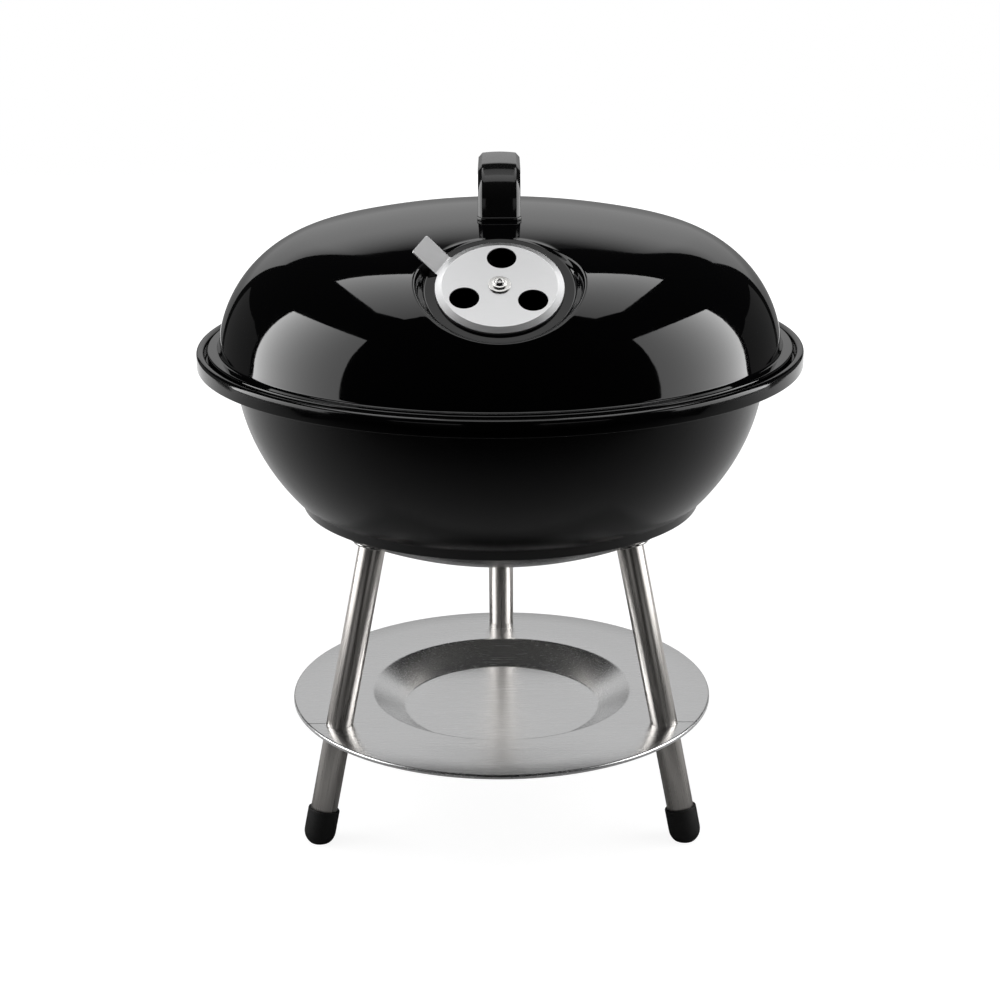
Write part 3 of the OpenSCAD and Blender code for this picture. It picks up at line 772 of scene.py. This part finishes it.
spring = washer("vent_spring_washer", 6.1, 2.55, 3.4, 4.2, corner=0.35)
put(spring, VENT)
smooth(spring, 40)
wear(spring, bright_steel, "lid", "fastener_steel", "lid_damper_spring")

# %% [markdown]
# The handle is one moulding: a bar with a bevelled section that turns down through two round
# corners into its legs. The section, with a slightly crowned outer face, is drawn once and
# travels the way the shape does: extruded up one leg, spun round the corner, along the bar,
# round the other corner and down. Its two ends are then let down onto the dome.

# %% Handle: the section's journey
HANDLE_LOW, HANDLE_W, HANDLE_T, FOOT_MORE = 366.0, 24.0, 12.0, 0.5
CORNER_R, CROWN_HALF, CROWN_RISE = 19.0, 9.7, 0.6
HANDLE_END, HANDLE_TOP = (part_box("lid_handle")[1][axis] / MM for axis in (1, 2))
HANDLE_END -= FOOT_MORE
CROWNED = [(x, CROWN_RISE * (x / CROWN_HALF) ** 2)
           for x in (-CROWN_HALF, -7.2, -4.8, -2.4, 0, 2.4, 4.8, 7.2, CROWN_HALF)]
SECTION = CROWNED + [(12, 3.2), (12, 10.5), (10.5, HANDLE_T), (-10.5, HANDLE_T),
                     (-12, 10.5), (-12, 3.2)]
deselect()
bpy.ops.mesh.primitive_circle_add(vertices=len(SECTION), radius=10 * MM, fill_type="NGON")
handle = take_new("handle_moulding")
for vertex, (across, deep) in zip(handle.data.vertices, SECTION):
    vertex.co = Vector((across, deep - HANDLE_END, HANDLE_LOW)) * MM
start_edit(handle, "FACE")
rise = HANDLE_TOP - CORNER_R - HANDLE_LOW
run = 2 * (HANDLE_END - CORNER_R)
extrude(0, 0, rise)
spin_face((0, -run / 2, HANDLE_LOW + rise), (1, 0, 0), 90, 18)
extrude(0, run, 0)
spin_face((0, run / 2, HANDLE_LOW + rise), (1, 0, 0), 90, 18)
extrude(0, 0, -rise)
close_up()
print("handle top", round(max(v.co.z for v in handle.data.vertices) / MM, 2),
      "ends", round(max(v.co.y for v in handle.data.vertices) / MM, 2))

# %% [markdown]
# Each leg of the handle ends in a shallow foot that is half a millimetre wider all round. The
# end face is extruded in place, grown, and extruded down to the lid, and its points are set
# just clear of the dome.

# %% Handle: feet on the dome
def dome_height(across):
    if across < CROWN_R * math.sin(math.radians(CROWN_END)):
        return CROWN_Z + math.sqrt(CROWN_R ** 2 - across ** 2)
    return SHOULDER_Z + math.sqrt(SHOULDER_R ** 2 - (across - SHOULDER_AT) ** 2)


for end in (-1, 1):
    pick_faces(handle, lambda centre, normal: normal.z < -0.9 and centre.y * end > 20 * MM
               and centre.z < (HANDLE_LOW + 1) * MM)
    middle = (0, end * (HANDLE_END - HANDLE_T / 2) * MM, HANDLE_LOW * MM)
    extrude(0, 0, 0)
    bpy.ops.transform.resize(center_override=middle, value=(
        1 + 2 * FOOT_MORE / HANDLE_W, 1 + 2 * FOOT_MORE / HANDLE_T, 1))
    extrude(0, 0, -3)
    end_edit()
for vertex in handle.data.vertices:
    if vertex.co.z < (HANDLE_LOW + 0.5) * MM:
        clear = 0.1 if vertex.co.z < (HANDLE_LOW - 1) * MM else 2.0
        across = math.hypot(vertex.co.x, vertex.co.y) / MM
        vertex.co.z = (dome_height(across) + clear) * MM
apply_modifier(handle, "BEVEL", width=0.35 * MM, segments=3, angle_limit=math.radians(25))
smooth(handle, 30)
wear(handle, handle_plastic, "lid", "handle_plastic", "lid_handle")

# %% [markdown]
# Two pan-head screws come up from inside the lid into the handle, each on a washer. A screw is
# modelled once, with a cross recess cut in its head, and copied to the other side.

# %% Handle: screws
SCREW_Y = 32.6


def cross_recess(size, deep, height):
    return join([block("blade", (0, 0, height), (size, size / 4, deep), turn)
                 for turn in (0, 90)], "cross")


# under each head: the lid's sheet, a small gap and the washer
head_low = dome_height(SCREW_Y) - SHEET - 0.1 - 1.5
screw = lathe("handle_screw_pair", rounded(
    [(0, -2.4), (2.9, -2.4, 1.2), (4, -1.2, 0.8), (4, 0, 0.15), (2, 0), (2, 15, 0.4), (0, 15)],
    4), steps=40)
cut(screw, cross_recess(4.2, 1.6, -2.4), self_cutting=True)
other = copy_of(screw, "handle_screw_two")
put(screw, moved(0, -SCREW_Y, head_low))
put(other, moved(0, SCREW_Y, head_low))
screws = join([screw, other], "handle_screw_pair")
smooth(screws, 35)
wear(screws, bright_steel, "lid", "fastener_steel", "handle_screws")

# %% [markdown]
# The legs are plain stainless tubes. One leg is turned with a slightly rounded end to its
# wall, its own upright shape is remembered for the brushing, and the other two are copies,
# each put on its own leg axis.

# %% Legs
TUBE_R, TUBE_INSIDE, FLANGE = 8, 6.8, 1.6
LEG_LOW = -LEG_LENGTH + 4.5
leg_tube = lathe("leg_tube", rounded(
    [(TUBE_INSIDE, -60), (TUBE_INSIDE, LEG_LOW, 0.2), (TUBE_R, LEG_LOW, 0.3),
     (TUBE_R, -FLANGE, 0.3), (TUBE_INSIDE, -FLANGE, 0.2), (TUBE_INSIDE, -60)], 3),
    steps=72, closed=True)
remember_shape(leg_tube)
smooth(leg_tube, 40)
for leg, turn in LEG_TURNS.items():
    piece = copy_of(leg_tube, "leg_tube_" + leg)
    put(piece, leg_place(turn))
    wear(piece, leg_steel, "root", "leg_steel", "leg_" + leg)
bpy.data.objects.remove(leg_tube)

# %% [markdown]
# A rubber cap closes the foot of each leg. Its end is half a ball, so that it can stand on the
# floor at the leg's angle, and it is worn flat there: the cap is turned in line with the leg
# and then bisected at floor height.

# %% Feet
cap = lathe("foot_cap", rounded(
    arc(0, -180.6, 9.5, -90, 0, 12)
    + [(9.5, -166.6, 0.9), (8.05, -166.6, 0.3), (8.05, LEG_LOW, 0.3), (0, LEG_LOW)], 5), steps=72)
smooth(cap, 45)
for leg, turn in LEG_TURNS.items():
    piece = copy_of(cap, "foot_cap_" + leg)
    put(piece, leg_place(turn))
    start_edit(piece)
    bpy.ops.mesh.bisect(plane_co=(0, 0, 0), plane_no=(0, 0, 1), clear_inner=True, use_fill=True,
                        threshold=1e-7)
    end_edit()
    smooth(piece, 45)
    wear(piece, foot_rubber, "root", "foot_rubber", "foot_" + leg)
bpy.data.objects.remove(cap)

# %% [markdown]
# Between each leg and its pad lies a broad washer, and inside the bowl a button-head bolt
# holds the leg. Both are modelled once, copied to the three legs and joined into one piece.

# %% Leg washers and bolts
def on_every_leg(model, name, finish, slot, *nodes):
    copies = []
    for leg, turn in LEG_TURNS.items():
        piece = copy_of(model, name + "_" + leg)
        put(piece, leg_place(turn))
        copies.append(piece)
    bpy.data.objects.remove(model)
    joined = join(copies, name)
    smooth(joined, 35)
    wear(joined, finish, "root", slot, *nodes)


on_every_leg(washer("leg_flange", 11, 3.3, -FLANGE, 0, corner=0.4), "leg_flange_washers",
             bright_steel, "fastener_steel", "leg_washers")
bolt = lathe("leg_bolt", rounded([(0, -15), (3, -15, 0.5), (3, 2.4), (5, 2.4, 0.2), (5, 4.4, 1.2),
                                  (3.6, 6.4, 1.4), (0, 6.4)], 5), steps=48)
deselect()
bpy.ops.mesh.primitive_cylinder_add(vertices=6, radius=2 * MM, depth=5 * MM,
                                    location=(0, 0, 6.4 * MM))
cut(bolt, take_new("hex_socket"))
on_every_leg(bolt, "leg_button_bolts", bright_steel, "fastener_steel", "leg_bolts")

# %% [markdown]
# The ash tray is thin stainless sheet: a flat shelf, a dish pressed down in its middle and a
# turned-down edge. The legs pass through three holes, and a slit runs from each hole to the
# edge so that the tray can be sprung on and off.

# %% Ash tray
TRAY_LEG_R, SLIT, SLIT_TURNS = 111.96, 0.8, (-30, 30, 0)
tray = lathe("ash_tray_dish", rounded(
    [(0, 61.2), (20, 61.2), (40, 61.2), (60, 61.2, 4), (80, 73.2, 4), (96, 73.2), (112, 73.2),
     (129, 73.2, 1.5), (129, 70.8, 0.2), (128.2, 70.8, 0.2), (128.2, 72.4, 0.7), (112, 72.4),
     (96, 72.4), (80.4, 72.4, 3.2), (60.4, 60.4, 4.8), (40, 60.4), (20, 60.4), (0, 60.4)], 6),
    steps=192)
for turn, slit_turn in zip(LEG_TURNS.values(), SLIT_TURNS):
    hole = drill(8.3, depth=180)
    put(hole, leg_place(turn) @ moved(0, 0, -100))
    cut(tray, hole)
    slit = block("slit", (0, -60, 73), (SLIT, 120, 20))
    put(slit, turned(turn) @ moved(0, -TRAY_LEG_R, 0) @ turned(slit_turn))
    cut(tray, slit)
smooth(tray, 35)
wear(tray, tray_steel, "root", "tray_steel", "ash_tray")

# %% [markdown]
# Both grates are welded wire: a ring, straight rods across its top and two cross rods under
# them. A rod is modelled once as a bar with rounded ends and copied, each copy's ends moved
# to meet the ring. A small flattened bead stands at every weld.

# %% Grates: helpers
ROD_R, ROD_HALF, WELD_GAP, CROSS_Y = 2, 10, 0.05, 55


def wire_rod():
    deselect()
    bpy.ops.mesh.primitive_cylinder_add(vertices=20, radius=ROD_R * MM, depth=2 * ROD_HALF * MM,
                                        rotation=(math.radians(90), 0, 0))
    rod = take_new("wire_rod")
    put(rod, Matrix())
    apply_modifier(rod, "BEVEL", width=0.7 * MM, segments=3, angle_limit=math.radians(50))
    return rod


def weld_bead():
    deselect()
    bpy.ops.mesh.primitive_ico_sphere_add(subdivisions=2, radius=1.5 * MM)
    bead = take_new("weld_bead")
    bead.scale = (1.25, 1.25, 0.5)
    put(bead, Matrix())
    return bead


def stretched_rod(rod, half, place):
    # a copy of the rod with its two ends moved out to half its length, put in its place
    rod = copy_of(rod, "rod")
    for vertex in rod.data.vertices:
        vertex.co.y += math.copysign((half - ROD_HALF) * MM, vertex.co.y)
    put(rod, place)
    return rod


def grate(name, ring_r, ring_rod, ring_z, pitch):
    rod_z = ring_z + ring_rod + WELD_GAP + ROD_R
    cross_z = rod_z - (2 * ROD_R + WELD_GAP)
    inside_r = ring_r - ring_rod - WELD_GAP
    count = int((ring_r - ring_rod) / pitch)
    rod, bead = wire_rod(), weld_bead()
    wires = [lathe(name + "_hoop", arc(ring_r, ring_z, ring_rod, 0, 360, 18), steps=160)]
    for i in range(-count, count + 1):
        half = math.sqrt(ring_r ** 2 - (i * pitch) ** 2)
        wires.append(stretched_rod(rod, half, moved(i * pitch, 0, rod_z)))
        for y in (-half + 1.5, -CROSS_Y, CROSS_Y, half - 1.5):
            if abs(y) > half:
                continue
            weld = copy_of(bead, "weld")
            weld_z = ring_z + ring_rod if abs(y) > half - 2 else (rod_z + cross_z) / 2
            put(weld, moved(i * pitch, y, weld_z))
            wires.append(weld)
    half = math.sqrt(inside_r ** 2 - (CROSS_Y + ROD_R) ** 2)
    wires += [stretched_rod(rod, half, moved(0, y, cross_z) @ turned(90))
              for y in (-CROSS_Y, CROSS_Y)]
    bpy.data.objects.remove(rod)
    bpy.data.objects.remove(bead)
    made = join(wires, name)
    smooth(made, 50)
    return made


# %% Grates: cooking grate and charcoal grate
wear(grate("cooking_grate_wires", 146.06, 3, 269.22, 20), grate_chrome, "cooking_grate",
     "grate_chrome", "cooking_grate_ring", "cooking_grate_rods")
wear(grate("charcoal_grate_wires", 120.6, 2.5, 208.92, 19), grate_chrome, "charcoal_grate",
     "grate_chrome", "charcoal_grate_ring", "charcoal_grate_rods")

# %% [markdown]
# Three small steel brackets inside the bowl carry the cooking grate. Each is a plate against
# the wall with a shelf turned in at its top. The section is spun through the few degrees that
# one bracket covers, its two open ends are filled, and the others are copies.

# %% Grate brackets
plate = [(side_r(z, 1.3), z) for z in (252.02, 256, 260, 264.6)]
inner = [(side_r(z, 2.8), z) for z in (262, 258, 255, 252.02)]
shelf_r = side_r(266.02, SHEET) - 12
shelf = [(side_r(266.02, 1.3), 266.02, 0.8), (shelf_r, 266.02, 0.4),
         (shelf_r, 264.52, 0.4), (side_r(264.52, 2.8), 264.52, 0.9)]
bracket = lathe("bracket", rounded(plate + shelf + inner, 4), steps=8, degrees=8.2, closed=True)
start_edit(bracket, "EDGE")
bpy.ops.mesh.select_all(action="DESELECT")
bpy.ops.mesh.select_non_manifold()
bpy.ops.mesh.fill_holes(sides=0)
close_up()
spans = [math.degrees(math.atan2(v.co.y, v.co.x)) for v in bracket.data.vertices]
middle = (min(spans) + max(spans)) / 2
brackets = []
for turn in (0, 120, 240):
    piece = copy_of(bracket, "bracket_at")
    put(piece, turned(90 + turn - middle))
    brackets.append(piece)
bpy.data.objects.remove(bracket)
brackets = join(brackets, "grate_brackets")
smooth(brackets, 35)
wear(brackets, bright_steel, "root", "bracket_steel", "grate_supports")

# %% [markdown]
# The bottom damper is a disc of sheet that follows the dish from below, with a tab reaching
# out at the back. A whole spherical sheet is turned and then intersected with a cutter of the
# damper's outline, as it would be blanked from sheet, and its ash holes are drilled.

# %% Bottom damper
slide = lathe("bottom_damper_plate", dish(66, 0.2, 24) + dish(66, 1.2, 24)[::-1], steps=128)
deselect()
bpy.ops.mesh.primitive_cylinder_add(vertices=96, radius=45 * MM, depth=60 * MM,
                                    location=(0, 0, 180 * MM))
blank = take_new("blank")
arm = block("arm", (0, 45, 180), (14, 41.8, 60))
pick_edges(arm, lambda middle, way: abs(way.z) > 0.9 and middle.y > 50 * MM)
bpy.ops.mesh.bevel(offset=4 * MM, segments=6)
end_edit()
cut(blank, arm, "UNION")
cut(slide, blank, "INTERSECT")
for hole in three_drills(**ASH_HOLES):
    put(hole, moved(0, 0, DISH_LOW))
    cut(slide, hole)
remember_shape(slide)
smooth(slide, 35)
wear(slide, damper_steel, "bottom_damper", "damper_steel", "bottom_damper")

# %% Bottom damper: its bolt and washer
bolt = lathe("bottom_bolt", rounded(
    [(0, 161.72), (2.8, 161.72, 0.8), (4.5, 163.3, 0.6), (4.5, 164.22, 0.2), (2.5, 164.22),
     (2.5, 173.6, 0.4), (0, 173.6)], 4), steps=48)
smooth(bolt, 40)
wear(bolt, bright_steel, "root", "fastener_steel", "bottom_damper_bolt")
spring = washer("bottom_spring_washer", 6.1, 2.55, 164.22, 165.02, corner=0.2)
smooth(spring, 40)
wear(spring, bright_steel, "root", "fastener_steel", "bottom_damper_spring")

# %% [markdown]
# The last small fasteners, nuts, inserts and inner washers, are already right as solids. They
# only take their finish.

# %% Finishes for the solids that stay
for name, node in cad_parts.items():
    if not node.hide_render:
        for holder in node.material_slots:
            holder.material = bright_steel.material
        print("kept as a solid:", name)

# %% [markdown]
# The studio is a pale floor, a dark room and a few panels of soft light. Glossy black shows
# nothing but what it reflects, so the panels' places and edges matter more than their power.
# Two tall ones stand left and right. Overhead hangs one more on each side, with two smaller
# ones between them, and dim cards stand beyond the side panels. The lit card far behind comes
# in three pieces, so that it can be brightest in the middle. Two low cards in front and three
# sheets of glow that lie on the floor are there to be reflected by the bowl, the legs and the
# tray. The rest of the front stays dark, which keeps the enamel black.

# %% Studio: helpers
FLOOR_GLOW_Z, OVERHEAD_Z, SIDE_X, FRONT_Y, BACK_Y = 0.001, 0.82, 0.8, -1.7, 1.5


class Glow(Finish):
    # the same wiring for what only lights the grill; it starts with no shader of its own
    def __init__(self, owner):
        owner.use_nodes = True
        self.tree = owner.node_tree
        self.tree.nodes.clear()

    def shows(self, shader, kind="OutputMaterial"):
        self.feed(self.tree.nodes.new("ShaderNode" + kind).inputs["Surface"], shader)


def panel(name, corners, low, high, along, ease=1.0, lights_floor=True):
    # a flat lit panel; its strength runs from low to high between two places along one axis
    deselect()
    bpy.ops.mesh.primitive_circle_add(vertices=len(corners), radius=1, fill_type="NGON")
    card = take_new(name)
    for vertex, corner in zip(card.data.vertices, corners):
        vertex.co = corner
    axis, start, end = along
    light = bpy.data.materials.new(name)
    glow = Glow(light)
    here = glow.node("SeparateXYZ", result=axis, i0=glow.place())
    share = glow.maths("POWER", glow.spread(here, start, end, 0.0, 1.0), ease)
    glow.shows(glow.node("Emission", Strength=glow.spread(share, 0.0, 1.0, low, high)))
    card.data.materials.append(light)
    card.visible_camera = False
    card.visible_diffuse = lights_floor
    card.visible_shadow = False


def flat(x0, x1, y0, y1, z):
    return [(x0, y0, z), (x1, y0, z), (x1, y1, z), (x0, y1, z)]


def upright(x0, x1, y, z0, z1):
    return [(x0, y, z0), (x1, y, z0), (x1, y, z1), (x0, y, z1)]


def mirrored(side, corners):
    return [(side * x, y, z) for x, y, z in corners]


# %% Studio: panels
for side, hand in ((-1, "left"), (1, "right")):
    panel("side_panel_" + hand, mirrored(side, [
        (SIDE_X, -0.48, 0.16), (SIDE_X, 0.20, 0.16), (SIDE_X, 0.22, 0.787),
        (SIDE_X, -0.45, 1.0)]), 1.8, 6.2, (1, -0.48, 0.22), ease=2.0)
    panel("side_floor_" + hand, mirrored(side, flat(0.2, 1.4, -0.3, 1.5, FLOOR_GLOW_Z)),
          0.12, 1.0, (1, -0.28, 0.9), lights_floor=False)
    panel("front_card_" + hand, mirrored(side, upright(0.40, 1.3, FRONT_Y, 0.02, 0.34)),
          0.46, 0.40, (2, 0.02, 0.34))
    panel("overhead_panel_" + hand, mirrored(side, [
        (0.10, -0.20, 0.8), (0.29, -0.22, 0.8), (0.36, -0.125, 0.8), (0.39, 0.25, 0.8),
        (0.10, 0.24, 0.8)]), 1.2, 3.0, (1, -0.22, 0.25))
    panel("dim_card_" + hand, mirrored(side, [
        (SIDE_X, 0.25, 0.10), (SIDE_X, 1.02, 0.10), (SIDE_X, 1.02, 0.54), (SIDE_X, 0.41, 0.50),
        (SIDE_X, 0.25, 0.44)]), 0.08, 0.09, (2, 0.10, 0.54))
panel("front_top_panel", flat(-0.16, 0.16, -0.30, -0.08, OVERHEAD_Z),
      1.25, 1.95, (1, -0.30, -0.08))
panel("middle_top_panel", flat(-0.16, 0.16, -0.08, 0.14, OVERHEAD_Z),
      1.15, 0.6, (1, -0.08, 0.14))
panel("front_floor", flat(-0.9, 0.9, -1.1, -0.14, FLOOR_GLOW_Z),
      0.0, 0.26, (1, -1.1, -0.14), ease=4.0, lights_floor=False)
panel("back_card_foot", upright(-0.92, 0.92, BACK_Y, 0.0, 0.50),
      0.20, 0.46, (2, 0.1, 0.50), ease=3.0)
panel("back_card", upright(-0.92, 0.92, BACK_Y, 0.50, 0.90), 0.46, 0.63, (2, 0.50, 0.90))
ARCH = [(0.92, 1.04), (0.70, 1.12), (0.40, 1.22), (0.1, 1.37)]
panel("back_card_top", [(-0.92, BACK_Y, 0.90), (0.92, BACK_Y, 0.90)]
      + [(x, BACK_Y, z) for x, z in ARCH] + [(-x, BACK_Y, z) for x, z in reversed(ARCH)],
      0.63, 0.05, (2, 0.90, 1.28), ease=2.0)
print("panels stand")

# %% [markdown]
# The floor takes the grill's shadow. It is grey to the light that it passes on, so that it
# hardly lights the grill from below, and white to the camera, as a lit sweep would be: glow
# is mixed in on camera rays only, and more of it towards the back. The room behind is dark,
# and white to the camera too.

# %% Studio: floor and room
FLOOR_GREY, FLOOR_GLOW, ROOM_LIGHT = 0.34, 1.26, 0.008

deselect()
bpy.ops.mesh.primitive_plane_add(size=1)
floor = take_new("floor")
floor.scale = (3.0, 2.8, 1)
put(floor, Matrix.Translation((0, 1.12, 0)))
sweep = bpy.data.materials.new("floor")
glow = Glow(sweep)
seen = glow.node("LightPath", result="Is Camera Ray")
matt = glow.node("BsdfDiffuse", Color=glow.spread(seen, 0.0, 1.0, FLOOR_GREY, 1.0))
back = glow.node("SeparateXYZ", result="Y", i0=glow.place())
glow.shows(glow.node("MixShader", i0=seen * glow.spread(back, 0.25, 1.0, 0.72, 1.0), i1=matt,
                     i2=glow.node("Emission", Strength=FLOOR_GLOW)))
floor.data.materials.append(sweep)

room = bpy.data.worlds.new("room")
bpy.context.scene.world = room
glow = Glow(room)
glow.shows(glow.node("MixShader", i0=glow.node("LightPath", result="Is Camera Ray"),
                     i1=glow.node("Background", Strength=ROOM_LIGHT),
                     i2=glow.node("Background", Color=(1, 1, 1, 1))), "OutputWorld")
print("floor and room ready")

# %% [markdown]
# The camera looks down on the grill by about eighteen degrees from straight ahead, with a
# long lens so that the legs hardly spread.

# %% Camera
CAMERA_DOWN, CAMERA_ROLL = 17.86, -0.278

deselect()
bpy.ops.object.camera_add(location=(0, -1.18678, 0.57755))
camera = bpy.context.object
camera.name = "camera"
camera.data.lens = 74.08
camera.data.sensor_width = 36
camera.data.shift_x = -0.0007
camera.rotation_euler = (turned(90 - CAMERA_DOWN, "X") @ turned(CAMERA_ROLL)).to_euler()
bpy.context.scene.camera = camera
bpy.context.scene.view_settings.view_transform = "Standard"
print("camera at", [round(v, 3) for v in camera.location])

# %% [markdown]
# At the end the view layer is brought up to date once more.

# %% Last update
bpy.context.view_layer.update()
